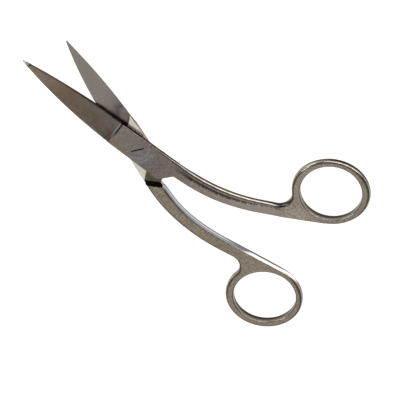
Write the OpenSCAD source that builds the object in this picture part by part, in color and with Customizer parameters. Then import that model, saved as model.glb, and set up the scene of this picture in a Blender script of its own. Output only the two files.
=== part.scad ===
// Bent-handle scissors for fine needlework.
// Two one-piece forged halves turn on a flush slotted screw.
// Frame: the pivot axis is Z, the resting face is z = 0, and the closed blades lie along -X.
// The lower half is fixed; the upper half is shown opened by rest_open about the pivot.

/* [Overall] */
// Total thickness of the scissors at the pivot and of each shank
thick = 3.2; // [2.8:0.1:3.8]
// Angle between the blades as drawn
rest_open = 21; // [1:1:50]
// Gap left between the two flat faces that slide on each other
lap_gap = 0.06; // [0.04:0.01:0.12]

/* [Blades] */
// Pivot axis to the tip of the upper blade
upper_len = 56; // [45:0.5:65]
// Pivot axis to the tip of the lower blade
lower_len = 53.5; // [45:0.5:65]
// Width across the upper blade where its grinding starts
upper_blade_w = 10.3; // [9.6:0.1:10.4]
// Width across the lower blade where its grinding starts
lower_blade_w = 9.2; // [9:0.1:10.2]
// Sideways place of the points, towards the cutting edge
tip_shift = 0.6; // [0:0.1:1.2]
// Blade thickness just before the point
tip_t = 0.7; // [0.5:0.1:1]
// Width of the ground cutting bevel
bevel_w = 0.4; // [0.3:0.1:1.2]
// Thickness left along the cutting edge
edge_t = 0.2; // [0.1:0.05:0.4]

/* [Lap joint] */
// Width of the flat lap across the pivot
lap_w = 10.6; // [10.4:0.1:12]
// Distance from the pivot axis to the middle of the shoulder
shoulder_x = 19; // [18:0.1:20]
// Lean of the shoulder wall from the X axis
shoulder_angle = 57; // [50:1:65]
// Gap between the shoulder and the other half's end when closed
shoulder_gap = 1.2; // [0.4:0.05:1.5]

/* [Handles] */
// Width of each shank behind the shoulder
shank_w = 5.6; // [5.3:0.1:6.2]
// Width of each shank where it meets the ring
shank_end_w = 5.3; // [4.8:0.1:5.8]
// Radius of the line along which the closed shanks meet
bend_r = 61; // [50:1:75]
// Sideways bend of the handles away from the blades
bend_angle = 32.5; // [20:0.5:40]
// Distance from the pivot axis to the start of the bend
bend_start = 18.5; // [17:0.5:24]
// Rounding of each shank's outer edges, which starts small at the shoulder
shank_round = 1.4; // [0.8:0.1:1.5]
// Rounding of the edges where the closed shanks meet
inner_round = 0.4; // [0.2:0.1:0.8]
// Gap between the shanks when closed
shank_gap = 0.3; // [0.2:0.05:0.6]

/* [Finger rings] */
// Inside diameter of each ring
ring_hole = 23.7; // [22:0.1:25]
// Width of the ring band
ring_band = 3.1; // [2.6:0.1:3.4]
// Edge rounding of the ring band
ring_round = 1.3; // [0.8:0.1:1.3]
// Ring centre, measured along the handle from the end of the bend
ring_along = 25.5; // [23:0.5:30]
// Ring centre, measured sideways from the line where the shanks meet
ring_side = 15.9; // [15.5:0.1:18]
// Fillet where the shank runs into the ring
ring_fillet = 5; // [2:0.5:6]

/* [Pivot screw] */
// Diameter of the countersunk head
head_d = 5.2; // [4.6:0.1:6]
// Diameter of the threaded shank
screw_d = 3; // [2.5:0.1:3.4]
// Width of the screwdriver slot
slot_w = 0.5; // [0.4:0.1:0.8]
// Depth of the screwdriver slot
slot_depth = 0.7; // [0.4:0.1:0.9]
// Direction of the slot from the X axis
slot_angle = 83; // [0:1:180]
// Radial running clearance of the upper half on the screw
run_clear = 0.05; // [0.02:0.01:0.09]

/* [Hidden] */
$fn = 96;
half_t = (thick - lap_gap) / 2;
grind_x = 11;                 // where the blade grinding starts
grind_skew = 0.85;            // half the slant of the grinding line
grind_step = 0.12;            // drop from the lap to the ground blade face
tip_w = 0.3;                  // width of the blunted point
blade_steps = 16;
spine_chamfer = 0.6;
ring_outer = ring_hole / 2 + ring_band;
ring_mid = (ring_hole + ring_band) / 2;
corner_r = 2;                 // rounded corner of the lap's end
shank_root = 9;               // where the shank starts, inside the lap
shank_blend = 8;              // run over which the lap's width becomes the shank's
bend_len = bend_r * bend_angle * PI / 180;
ring_inset = 8;               // how far short of the ring's centre the shank ends
edge_round = 0.4;             // outer edge rounding where a shank starts
round_steps = 4;
shank_steps = 22;
big = 60;

// Points of an arc, from angle a0 to a1.
function arc(c, r, a0, a1, n = 8) =
    [for (i = [0:n]) let (a = a0 + (a1 - a0) * i / n) c + r * [cos(a), sin(a)]];

// How far a blade's edge has moved from its root to distance d: a circular arc, from 0 to all.
function taper(d, len, drop) =
    let (run = len - grind_x, r = (run * run + drop * drop) / (2 * drop), past = max(0, d - grind_x))
    r - sqrt(r * r - past * past);

// Thickness of a blade at distance d from the pivot axis.
function blade_t(d, len) =
    let (root_t = half_t - grind_step)
    root_t - (root_t - tip_t) * max(0, d - grind_x) / (len - grind_x);

// Cross-section of the lower blade at distance d: flat face up, cutting edge on -Y.
function blade_section(d, len, w) =
    let (back = w / 2 - taper(d, len, (w - tip_w) / 2 + tip_shift))
    let (edge = -w / 2 + taper(d, len, (w - tip_w) / 2 - tip_shift))
    let (width = back - edge, t = blade_t(d, len))
    let (bev = bevel_w * min(1, 0.3 + width / w), ch = spine_chamfer * min(1, width / 2))
    [
        [-d, back, half_t],
        [-d, back, half_t - t + ch],
        [-d, back - ch, half_t - t],
        [-d, edge + min(bev, width / 2), half_t - t],
        [-d, edge, half_t - edge_t],
        [-d, edge, half_t]
    ];

// Solid through a list of rings that all have the same number of points.
module loft(rings) {
    n = len(rings[0]);
    m = len(rings);
    points = [for (ring = rings) each ring];
    sides = [
        for (i = [0:m - 2], j = [0:n - 1])
            let (a = i * n + j, b = i * n + (j + 1) % n)
            each [[a, b + n, b], [a, a + n, b + n]]
    ];
    first = [[for (j = [0:n - 1]) j]];
    last = [[for (j = [n - 1:-1:0]) (m - 1) * n + j]];
    polyhedron(points, concat(sides, first, last), convexity = 4);
}

module blade(len, w) {
    root = grind_x - 2;
    rings = [
        for (i = [0:blade_steps])
            let (u = i / blade_steps)
            blade_section(root + (len - root) * (1 - (1 - u) * (1 - 0.25 * u)), len, w)
    ];
    loft(rings);
}

// Outline of the flat lap of the lower half. Its +Y corner stops at the other half's shoulder.
module lap_outline(w) {
    hw = lap_w / 2;
    back = hw - (upper_blade_w - w) / 2;
    dir = shoulder_angle;
    end = shoulder_x - shoulder_gap / sin(dir);
    // the end wall leans the other way, because the halves mirror each other
    setback = corner_r / tan((180 - dir) / 2);
    polygon(concat(
        [
            [-grind_x - grind_skew, -w / 2],
            [2, -hw],
            [shank_root, -hw],
            [shank_root + shank_blend, -shank_w],
            [bend_start, -shank_w],
            [bend_start, -shank_gap / 2],
            [end, -shank_gap / 2]
        ],
        arc([end - hw / tan(dir) - setback, back - corner_r], corner_r, 90 - dir, 90, 6),
        [[-grind_x + grind_skew, w / 2]]
    ));
}

// Half-space in front of the shoulder wall, above the lap: where the other half lies.
module lap_recess() {
    translate([shoulder_x, 0, half_t])
        rotate(shoulder_angle)
            translate([-big, 0, 0])
                cube([2 * big, big, big]);
}

// Length of the line where the closed shanks meet, from the lap to inside the ring.
function shank_length() = bend_start - shank_root + bend_len + ring_along - ring_inset;

// Place and heading on that line, at distance s from the start of the shank.
function on_line(s) =
    let (straight = bend_start - shank_root)
    let (turn = max(0, min(bend_angle, (s - straight) / bend_len * bend_angle)))
    let (past = s - straight - turn / bend_angle * bend_len)
    let (along = s < straight ? s - straight : max(0, past))
    [
        bend_start + bend_r * sin(turn) + along * cos(turn),
        bend_r * (1 - cos(turn)) + along * sin(turn),
        turn
    ];

// Section of a shank at distance s: a bar between the meeting line and the outer edge.
function shank_section(s, side) =
    let (at = on_line(s), u = s / shank_length(), grow = min(1, 2.5 * u))
    let (start = max(0, 1 - s / shank_blend))
    let (w = shank_w + (shank_end_w - shank_w) * u + (lap_w / 2 - shank_w) * start)
    let (r = edge_round + (shank_round - edge_round) * grow * grow * (3 - 2 * grow))
    let (q = inner_round, y0 = shank_gap / 2 + q, y1 = w - r)
    let (flat = concat(
        arc([y0, q], q, 180, 270, round_steps),
        arc([y1, r], r, 270, 360, round_steps),
        arc([y1, thick - r], r, 0, 90, round_steps),
        arc([y0, thick - q], q, 90, 180, round_steps)
    ))
    [for (p = flat) [at[0] - side * p[0] * sin(at[2]), at[1] + side * p[0] * cos(at[2]), p[1]]];

// Shank from the lap to the ring; side is -1 for the lower half and 1 for the upper.
module shank(side) {
    rings = [for (i = [0:shank_steps]) shank_section(shank_length() * i / shank_steps, side)];
    loft(side > 0 ? rings : [for (ring = rings) [for (i = [len(ring) - 1:-1:0]) ring[i]]]);
}

// Moves to the end of the bend: x runs on along the handle, y across it.
module at_bend_end() {
    translate([bend_start, bend_r, 0])
        rotate(bend_angle)
            translate([0, -bend_r, 0])
                children();
}

// Flat web that fills the corner between shank and ring, with a fillet on the outer side.
module ring_web(side) {
    skin = 0.3;
    reach = ring_outer + ring_fillet;
    fillet_y = shank_end_w + ring_fillet;
    fillet_x = ring_along - sqrt(reach * reach - pow(ring_side - fillet_y, 2));
    touch = [ring_along, ring_side] + ([fillet_x, fillet_y] - [ring_along, ring_side]) * ring_outer / reach;
    start = [ring_along - 13, shank_gap / 2 + 0.1];
    span = norm([ring_along, ring_side] - start);
    aim = atan2(ring_side - start[1], ring_along - start[0]);
    run = sqrt(span * span - ring_outer * ring_outer);
    top = start + run * [cos(aim - asin(ring_outer / span)), sin(aim - asin(ring_outer / span))];
    mirror([0, side < 0 ? 1 : 0, 0])
        translate([0, 0, skin])
            linear_extrude(thick - 2 * skin)
                difference() {
                    polygon([start, top, [ring_along, ring_side], touch, [fillet_x, shank_end_w]]);
                    translate([fillet_x, fillet_y])
                        circle(ring_fillet);
                    translate([ring_along, ring_side])
                        circle(ring_hole / 2 + 0.4);
                }
}

module finger_ring(side) {
    r = ring_round;
    translate([ring_along, side * ring_side, 0])
        rotate_extrude()
            translate([ring_mid, thick / 2]) {
                square([ring_band - 2 * r, thick], center = true);
                square([ring_band, thick - 2 * r], center = true);
                for (sx = [-1, 1], sy = [-1, 1])
                    translate([sx * (ring_band / 2 - r), sy * (thick / 2 - r)])
                        circle(r);
            }
}

module handle(side) {
    difference() {
        shank(side);
        if (side < 0)
            lap_recess();
        else
            flip() lap_recess();
    }
    at_bend_end() {
        ring_web(side);
        finger_ring(side);
    }
}

// Turns the lower half's lap and blade over, to make the upper half's.
module flip() {
    translate([0, 0, thick])
        rotate([180, 0, 0])
            children();
}

module lap_and_blade(len, w) {
    linear_extrude(half_t)
        lap_outline(w);
    blade(len, w);
}

module lower_half() {
    color([0.56, 0.53, 0.48])
        difference() {
            union() {
                lap_and_blade(lower_len, lower_blade_w);
                handle(-1);
            }
            translate([0, 0, -1])
                cylinder(d = screw_d, h = thick);
        }
}

module upper_half() {
    color([0.5, 0.46, 0.41])
        rotate(rest_open)
            difference() {
                union() {
                    flip() lap_and_blade(upper_len, upper_blade_w);
                    handle(1);
                }
                translate([0, 0, -1])
                    cylinder(d = screw_d + 2 * run_clear, h = thick + 2);
                countersink(run_clear, 0.01);
            }
}

// Cone under the screw head, grown by a clearance and lifted past the top face.
module countersink(grow, lift) {
    depth = (head_d - screw_d) / 2;
    translate([0, 0, thick - depth])
        cylinder(d1 = screw_d + 2 * grow, d2 = head_d + 2 * grow + 2 * lift, h = depth + lift);
}

module pivot_screw() {
    color([0.62, 0.6, 0.57])
        difference() {
            union() {
                cylinder(d = screw_d, h = thick - 0.5);
                countersink(0, 0);
            }
            rotate(slot_angle)
                translate([-head_d, -slot_w / 2, thick - slot_depth])
                    cube([2 * head_d, slot_w, thick]);
        }
}

lower_half();
upper_half();
pivot_screw();
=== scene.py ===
"""Looks for the bent-handle scissors: two ground and polished steel halves and a slotted screw."""
from math import acos, asin, atan2, cos, pi, radians, sin, sqrt, tan
import bpy
import numpy as np
from mathutils import Matrix, Vector
from mathutils.geometry import delaunay_2d_cdt


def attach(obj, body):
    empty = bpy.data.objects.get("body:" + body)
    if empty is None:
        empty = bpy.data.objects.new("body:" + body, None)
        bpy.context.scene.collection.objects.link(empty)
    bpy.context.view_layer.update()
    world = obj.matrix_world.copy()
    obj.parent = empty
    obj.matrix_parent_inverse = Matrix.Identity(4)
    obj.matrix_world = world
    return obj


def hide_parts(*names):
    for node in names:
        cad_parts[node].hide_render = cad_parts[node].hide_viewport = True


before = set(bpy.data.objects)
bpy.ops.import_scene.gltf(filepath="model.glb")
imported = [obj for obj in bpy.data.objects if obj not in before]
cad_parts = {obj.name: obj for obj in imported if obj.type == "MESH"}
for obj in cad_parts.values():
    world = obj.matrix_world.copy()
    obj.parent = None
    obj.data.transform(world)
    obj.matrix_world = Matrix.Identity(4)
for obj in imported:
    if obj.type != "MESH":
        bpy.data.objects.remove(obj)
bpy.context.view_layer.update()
MM = 0.001

# ---------------- sizes in mm
# These are the CAD part's sizes. The two halves of the real pair differ by a few tenths of a
# millimetre, as hand grinding leaves them. Where a size has two values, that difference is in it.
THICK = 3.2
HALF = 1.57  # each half where they cross, so that the laps are 0.06 apart
REST_OPEN = radians(21.0)
LEN = {"lower": 53.5, "upper": 56.0}
ROOT_W = {"lower": 9.2, "upper": 10.3}
ROOT_X = 11.0  # from the pivot to the blade's root, where its width is ROOT_W
TIP_W = 0.3
TIP_SHIFT = {"lower": 0.42, "upper": 0.62}  # how far the point lies off the blade's middle line
TIP_T = 0.7
TIP_BACK = 0.35  # length of the rounding at the very point
TIP_POWER = 1.3  # outline points crowd together towards the point
STEP = 0.12  # depth of the grinding line on the outer face
GRIND_RUN = 0.85  # length over which it gets that deep
GRIND_LEAN = 0.85  # how far its ends lie before and behind its middle
EDGE_T = 0.34  # thickness of the cutting edge's flat
BEVEL_W = 0.2
LAP_HW = 5.3
CORNER_R = 2.2
INSIDE_R = 0.8
SHOULDER_X = {"lower": 19.5, "upper": 19.0}
LAP_END_X = 19.0
SHOULDER_A = radians(57.0)
SHOULDER_GAP = 1.2
BEND_START = 18.5
BEND_R = 61.0
BEND_A = radians(32.5)
BEND_LEN = BEND_R * BEND_A
BEND_END = BEND_START + BEND_LEN
RING_OUTER = {"lower": 14.85, "upper": 14.9}
RING_AT = {"lower": (25.35, 15.7), "upper": (25.4, 16.12)}
HOLE_R = {"lower": (11.85, 12.35), "upper": (11.65, 12.6)}
HOLE_AT = {"lower": (25.5, 15.35), "upper": (25.48, 16.02)}
HOLE_ROUND = 0.5
RING_FILLET = 5.4
FILLET_OFF = 5.33  # where the fillet leaves the shank's outer edge
RING_START = (8.0, 0.45)  # where the inner edge leaves the shank for the ring
HEAD_R = 2.6
HEAD_SEAT = 1.1  # depth of the countersink
SCREW_R = 1.5
BORE_CLEAR = 0.05
SLOT_HW = 0.25
SLOT_DEPTH = 0.7
SLOT_A = radians(83.0)
SHARP_A = radians(33.0)  # faces that meet at more than this keep a crease

# ---------------- zones of a half, one finish each, and the sides of a closed shell
SHANK, BLADE_OUTER, LAP_OUTER, BLADE_INNER, LAP_INNER, RECESS, SHOULDER, SIDE = range(8)
FLAT_SIDE, OUTER_SIDE, WALL = range(3)


def add_object(name, data):
    obj = bpy.data.objects.new(name, data)
    bpy.context.scene.collection.objects.link(obj)
    return obj


# ---------------- camera
AZIMUTH = radians(141.429)  # from +X, anticlockwise seen from above
ELEVATION = radians(50.883)
ROLL = radians(-167.707)  # the camera is held nearly upside down
CAM_DISTANCE = 1.75606
CAM_TARGET = (26.02, 13.47, 9.39)
CAM_LENS = 423.4374


def place_camera():
    level = Vector((-sin(AZIMUTH), cos(AZIMUTH), 0.0))
    back = Vector((cos(ELEVATION) * cos(AZIMUTH),
                   cos(ELEVATION) * sin(AZIMUTH),
                   sin(ELEVATION)))
    top = back.cross(level)
    right = cos(ROLL) * level + sin(ROLL) * top
    up = cos(ROLL) * top - sin(ROLL) * level
    data = bpy.data.cameras.new("camera")
    data.sensor_width = 36.0
    data.lens = CAM_LENS
    data.clip_start = 0.05
    data.clip_end = 20.0
    cam = add_object("camera", data)
    place = Matrix((right, up, back)).transposed().to_4x4()
    place.translation = Vector(CAM_TARGET) * MM + back * CAM_DISTANCE
    cam.matrix_world = place
    bpy.context.scene.camera = cam


place_camera()


# ---------------- small number helpers
def smooth(a, b, x):
    """0 at a, 1 at b, eased at both ends."""
    t = np.clip((np.asarray(x, float) - a) / (b - a), 0.0, 1.0)
    return t * t * (3.0 - 2.0 * t)


def xy(x, y):
    return np.stack([x, y], -1)


def soft_table(keys, values, blur=2.0):
    """A table of values along the half, with its corners blurred away."""
    step, reach = 0.25, 40
    grid = np.arange(-20.0, 110.0, step)
    raw = np.interp(grid, keys, values)
    kernel = np.exp(-0.5 * (np.arange(-reach, reach + 1) * step / blur) ** 2)
    kernel /= kernel.sum()
    soft = np.convolve(np.pad(raw, reach, mode="edge"), kernel, mode="valid")
    return lambda s: np.interp(s, grid, soft)


def quarter(d, r):
    """Drop of a rounded edge of radius r at distance d from the outline."""
    r = np.maximum(r, 1e-6)
    u = np.clip(d / r, 0.0, 1.0)
    return r * (1.0 - np.sqrt(np.clip(u * (2.0 - u), 0.0, 1.0)))


# ---------------- the line where the closed shanks meet
def line_point(s, off, bend):
    """Point at distance s along the line and off beside it; bend is 1 for a left turn, -1 for right."""
    s, off = np.broadcast_arrays(np.asarray(s, float), np.asarray(off, float))
    th = np.clip((s - BEND_START) / BEND_R, 0.0, BEND_A)
    past = np.where(s < BEND_START, s - BEND_START, np.maximum(0.0, s - BEND_END))
    x = BEND_START + BEND_R * np.sin(th) + past * np.cos(th) + bend * off * np.sin(th)
    y = bend * (BEND_R * (1.0 - np.cos(th)) + past * np.sin(th)) - off * np.cos(th)
    return xy(x, y)


def line_coords(p, bend):
    """Inverse of line_point."""
    x = p[:, 0]
    y = bend * p[:, 1]
    ang = np.arctan2(x - BEND_START, BEND_R - y)
    rad = np.hypot(x - BEND_START, y - BEND_R)
    ex = x - BEND_START - BEND_R * sin(BEND_A)
    ey = y - BEND_R * (1.0 - cos(BEND_A))
    t_end = BEND_END + ex * cos(BEND_A) + ey * sin(BEND_A)
    o_end = ex * sin(BEND_A) - ey * cos(BEND_A)
    before = x < BEND_START
    after = (~before) & (ang > BEND_A)
    s = np.where(before, x, np.where(after, t_end, BEND_START + BEND_R * ang))
    off = np.where(before, -y, np.where(after, o_end, rad - BEND_R))
    return s, bend * off


# ---------------- outline of one half, flat face up
def taper(d, length, drop):
    """How far an arc that starts at the blade's root has dropped at distance d from the pivot."""
    run = length - ROOT_X
    r = (run * run + drop * drop) / (2.0 * drop)
    past = np.clip(d - ROOT_X, 0.0, run)
    return r - np.sqrt(r * r - past * past)


class Half:
    """Everything that sets the shape of one half, in its own closed frame with the flat face up."""

    def __init__(self, name):
        self.name = name
        self.bend = 1 if name == "lower" else -1
        self.length = LEN[name]
        self.width = ROOT_W[name]
        if name == "lower":
            keys = [-11, -4, 0, 8, 14, 20, 40, 62]
            vals = [4.6, 5.1, 5.32, 5.6, 5.75, 5.65, 5.42, 5.42]
            inner_keys = [0, 24, 32, BEND_END - 4, BEND_END + 9]
            inner_vals = [-0.25, -0.25, 0.2, 0.24, 0.5]
        else:
            keys = [-11, -4, 0, 8, 14, 24, 36, 48, 62]
            vals = [5.15, 5.3, 5.38, 5.52, 5.66, 5.84, 5.84, 5.72, 5.5]
            inner_keys = [0, 36, 44, BEND_END + 9]
            inner_vals = [0.2, 0.26, 0.47, 0.6]
        # distance of the outer and the inner edge from the line where the closed shanks meet
        self.outer = soft_table(keys, vals)
        self.inner = soft_table(inner_keys, inner_vals)
        self.slim = 0.32 if name == "lower" else 0.1
        self.back_y = LAP_HW - (ROOT_W["upper"] - self.width) / 2.0

    def way(self, d):
        """0 at the blade's root, 1 at its point."""
        return np.clip((d - ROOT_X) / (self.length - ROOT_X), 0.0, 1.0)

    def sag(self, d):
        """What repeated grinding has taken from the middle of the blade."""
        return self.slim * np.sin(pi * self.way(d))

    def back(self, d):
        """Y of the spine."""
        drop = taper(d, self.length, (self.width - TIP_W) / 2.0 + TIP_SHIFT[self.name])
        return self.width / 2.0 - drop - self.sag(d)

    def edge(self, d):
        """Y of the cutting edge."""
        drop = taper(d, self.length, (self.width - TIP_W) / 2.0 - TIP_SHIFT[self.name])
        return -self.width / 2.0 + drop - (0.7 * self.sag(d) if self.name == "lower" else -self.sag(d))

    def blade_y(self, d):
        """The cutting edge and the blade's width, at distances kept to the blade."""
        d = np.clip(d, ROOT_X, self.length)
        return self.edge(d), np.clip(self.back(d) - self.edge(d), 0.1, None)

    def grind_x(self, y):
        """The leaning line on the outer face where the blade's grinding starts."""
        return -ROOT_X + GRIND_LEAN * y / (self.width / 2.0)

    def blade_t(self, d):
        root = HALF - STEP
        return root - (root - TIP_T) * self.way(d)

    def inner_end_x(self, y):
        """The curved end of the hollow grinding on the inner face."""
        return -14.4 + 8.4 * (1.0 - np.exp(-np.clip(4.6 - y, 0.0, 20.0) / 5.2))

    def recess_x(self, y):
        """The curved line between the polished lap and the recess before the shoulder."""
        low = 3.6 * (np.clip(-2.4 - y, 0.0, 9.0) / 3.0) ** 1.25
        return 11.0 + np.where(y < -2.4, low, 0.10 * (y + 2.4) ** 2)


def rounded_corners(points, radii, spacing):
    """Polyline with each inner corner replaced by an arc."""
    out = [np.asarray(points[0], float)]
    for i in range(1, len(points) - 1):
        a, b, c = (np.asarray(points[k], float) for k in (i - 1, i, i + 1))
        u = (a - b) / np.linalg.norm(a - b)
        v = (c - b) / np.linalg.norm(c - b)
        ang = acos(float(np.clip(u @ v, -1, 1)))
        r = radii[i]
        t = r / tan(ang / 2.0)
        mid = (u + v) / np.linalg.norm(u + v)
        centre = b + mid * (r / sin(ang / 2.0))
        p0, p1 = b + u * t, b + v * t
        a0 = atan2(*(p0 - centre)[::-1])
        a1 = atan2(*(p1 - centre)[::-1])
        turn = (a1 - a0 + pi) % (2 * pi) - pi
        n = max(4, int(abs(turn) * r / spacing))
        for k in range(n + 1):
            w = a0 + turn * k / n
            out.append(centre + r * np.array([cos(w), sin(w)]))
    out.append(np.asarray(points[-1], float))
    return np.array(out)


def subdivide(points, spacing):
    out = [points[0]]
    for a, b in zip(points[:-1], points[1:]):
        n = max(1, int(round(np.linalg.norm(b - a) / spacing)))
        for k in range(1, n + 1):
            out.append(a + (b - a) * k / n)
    return np.array(out)


def outline(half):
    """Closed outline, counter-clockwise, with the edge rounding on the flat and the outer side."""
    reach = half.length - TIP_BACK
    ring_r = RING_OUTER[half.name]
    ring_x, ring_y = RING_AT[half.name]
    pts, top, bot = [], [], []

    def add(p, rt, rb):
        p = np.asarray(p)
        pts.append(p)
        top.append(np.broadcast_to(rt, len(p)).astype(float))
        bot.append(np.broadcast_to(rb, len(p)).astype(float))

    # cutting edge, from the point to the root
    u = np.linspace(0.0, 1.0, 90)
    d = reach + (ROOT_X - reach) * u ** TIP_POWER
    add(xy(-d, half.edge(d)), 0.03, 0.03 + 0.09 * smooth(15.0, 11.0, d))
    # outer edge of lap and shank
    fy = FILLET_OFF + RING_FILLET
    fx = ring_x - sqrt((ring_r + RING_FILLET) ** 2 - (ring_y - fy) ** 2)
    s = np.arange(-ROOT_X + 0.5, BEND_END + fx - 0.2, 0.45)
    add(line_point(s, half.outer(s), half.bend),
        0.05 + 1.05 * smooth(10.0, 16.0, s), 0.42 + 0.73 * smooth(0.0, 26.0, s))
    first_outer = sum(len(q) for q in pts[:-1])
    # fillet into the ring
    gap_a = atan2(-(ring_y - fy), ring_x - fx)
    w = np.linspace(pi / 2, gap_a, 26)
    arc = line_point(BEND_END + fx + RING_FILLET * np.cos(w), fy - RING_FILLET * np.sin(w), half.bend)
    add(arc, 1.15, 1.15)
    # outside of the ring
    start = np.array(RING_START)
    to = np.array([ring_x, ring_y]) - start
    span = np.linalg.norm(to)
    aim = atan2(to[1], to[0]) - asin(ring_r / span)
    run = sqrt(span * span - ring_r ** 2)
    touch = start + run * np.array([cos(aim), sin(aim)])
    a_end = 2 * pi + atan2(ring_y - touch[1], touch[0] - ring_x)
    w = np.linspace(pi + gap_a, a_end, 190)[1:]
    arc = line_point(BEND_END + ring_x + ring_r * np.cos(w), ring_y - ring_r * np.sin(w), half.bend)
    round_off = 1.2 - 0.7 * smooth(a_end - 0.75, a_end, w)
    add(arc, round_off, round_off)
    last_outer = sum(len(q) for q in pts)
    # inner edge, back to the lap's end
    a = np.arange(touch[0] - 0.4, start[0], -0.45)
    b = start[1] + (a - start[0]) * tan(aim)
    round_off = 0.38 + 0.12 * smooth(touch[0] - 9.0, touch[0], a)
    add(line_point(BEND_END + a, b, half.bend), round_off, round_off)
    end = LAP_END_X - SHOULDER_GAP / sin(SHOULDER_A)
    s = np.arange(BEND_END + start[0] - 0.3, end + 2.6, -0.45)
    add(line_point(s, half.inner(s), half.bend), 0.38, 0.12 + 0.26 * smooth(end, 30.0, s))
    # end of the lap, with a small inside fillet and the rounded corner
    corner = end - LAP_HW / tan(SHOULDER_A)
    first = line_point(np.array([end + 2.2]), 0.15, half.bend)[0]
    path = [first, (end, -0.15), (corner, half.back_y), (-ROOT_X + 1.2, half.back_y - 0.02)]
    path = subdivide(rounded_corners(path, [0, INSIDE_R, CORNER_R, 0], 0.18), 0.5)
    ahead = smooth(end - 0.5, end + 2.0, path[:, 0])
    add(path, 0.05 + 0.33 * ahead, 0.12)
    # spine, out to the point
    u = np.linspace(0.0, 1.0, 90)
    d = ROOT_X + (reach - ROOT_X) * (1.0 - (1.0 - u) ** TIP_POWER)
    y = half.back(d)
    narrow = np.minimum(1.0, (y - half.edge(d)) / 2.0)
    wear_and_shade_lift = 0.75 if half.name == "lower" else 0.22
    wear_and_shade_lift = wear_and_shade_lift * smooth(11.0, 13.0, d) * narrow * (half.blade_t(d) / HALF)
    add(xy(-d, y), 0.05, 0.12 + wear_and_shade_lift - 0.06 * (1 - narrow))
    # rounded point
    y0, y1 = half.edge(reach), half.back(reach)
    w = np.linspace(pi / 2, 3 * pi / 2, 9)[1:-1]
    add(xy(-reach + TIP_BACK * np.cos(w), (y0 + y1) / 2 + (y1 - y0) / 2 * np.sin(w)), 0.03, 0.05)

    p = np.concatenate(pts)
    rt = np.concatenate(top)
    rb = np.concatenate(bot)
    # drop points that sit on each other, then relax the joins, but not where the halves meet
    keep = np.linalg.norm(p - np.roll(p, 1, axis=0), axis=1) > 0.02
    run = np.zeros(len(p), bool)
    run[first_outer:last_outer] = True
    run = run[keep]
    p, rt, rb = p[keep], rt[keep], rb[keep]
    tight = (p[:, 0] < -ROOT_X + 2.0) | (np.abs(p[:, 0] - end) < 5.0) & (np.abs(p[:, 1]) < 6.0)
    for _ in range(6):
        q = (np.roll(p, 1, axis=0) + 2 * p + np.roll(p, -1, axis=0)) / 4.0
        p = np.where(tight[:, None], p, q)
    outer_run = p[run]
    for _ in range(10):
        rt = (np.roll(rt, 1) + 2 * rt + np.roll(rt, -1)) / 4.0
        rb = (np.roll(rb, 1) + 2 * rb + np.roll(rb, -1)) / 4.0
    return p, rt, rb, outer_run


def inward(p):
    """Unit normals of a counter-clockwise loop, to its inside."""
    t = np.roll(p, -1, axis=0) - np.roll(p, 1, axis=0)
    t /= np.linalg.norm(t, axis=1)[:, None]
    return xy(-t[:, 1], t[:, 0])


BATCH = 2000  # points tested at a time, which keeps the arrays small


def inside(points, loop):
    """Even-odd test of many points against one closed loop."""
    out = np.zeros(len(points), bool)
    a, b = loop, np.roll(loop, -1, axis=0)
    for k in range(0, len(points), BATCH):
        q = points[k:k + BATCH]
        x, y = q[:, :1], q[:, 1:]
        cross = (a[:, 1] > y) != (b[:, 1] > y)
        with np.errstate(divide="ignore", invalid="ignore"):
            at = a[:, 0] + (y - a[:, 1]) * (b[:, 0] - a[:, 0]) / (b[:, 1] - a[:, 1])
        out[k:k + BATCH] = (np.count_nonzero(cross & (x < at), axis=1) % 2) == 1
    return out


def nearest(points, loop, values, closed=True):
    """Distance to a line of points, and the line's values at the nearest place."""
    a, b = (loop, np.roll(loop, -1, axis=0)) if closed else (loop[:-1], loop[1:])
    ab = b - a
    dd = np.maximum((ab ** 2).sum(1), 1e-12)
    dist = np.empty(len(points))
    vals = [np.empty(len(points)) for _ in values]
    for k in range(0, len(points), BATCH):
        q = points[k:k + BATCH]
        t = ((q[:, None, :] - a) * ab).sum(2) / dd
        t = np.clip(t, 0.0, 1.0)
        e = q[:, None, :] - a - t[..., None] * ab
        d2 = (e ** 2).sum(2)
        i = d2.argmin(1)
        r = np.arange(len(q))
        dist[k:k + BATCH] = np.sqrt(d2[r, i])
        for v, out in zip(values, vals):
            out[k:k + BATCH] = v[i] + (np.roll(v, -1)[i] - v[i]) * t[r, i]
    return dist, vals


def circle(r, n):
    w = np.linspace(0, 2 * pi, n, endpoint=False)
    return xy(r * np.cos(w), r * np.sin(w))


def contours(loop, r, hold):
    """Copies of a loop moved inwards, so that a rounding of radius r gets enough faces."""
    n = inward(loop)
    rings = [loop + n * (r * (1 - cos(f)))[:, None] for f in np.radians([14, 28, 42, 56, 70, 90])]
    rings.append(loop + n * (r + hold)[:, None])
    return rings


def plane_mesh(closed, opened, extra):
    """Delaunay mesh of the plane that keeps every given line."""
    verts, edges = [], []
    for loop in closed:
        k = len(verts)
        verts += [tuple(v) for v in loop]
        edges += [(k + i, k + (i + 1) % len(loop)) for i in range(len(loop))]
    for line in opened:
        k = len(verts)
        verts += [tuple(v) for v in line]
        edges += [(k + i, k + i + 1) for i in range(len(line) - 1)]
    verts += [tuple(v) for v in extra]
    got = delaunay_2d_cdt([Vector(v) for v in verts], edges, [], 0, 1e-5, False)
    points = np.array([tuple(v) for v in got[0]])
    tris = np.array([f for f in got[2] if len(f) == 3])
    return points, tris


def keep_faces(points, tris, keep):
    """The chosen faces, and only the points that they use."""
    tris = tris[keep]
    used = np.unique(tris)
    new = np.full(len(points), -1)
    new[used] = np.arange(len(used))
    return points[used], new[tris]


def grid_fill(lo, hi, step):
    """Points in a triangular grid."""
    xs = np.arange(lo[0], hi[0], step)
    ys = np.arange(lo[1], hi[1], step * 0.866)
    x, y = np.meshgrid(xs, ys)
    x[1::2] += step / 2
    return xy(x.ravel(), y.ravel())


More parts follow.
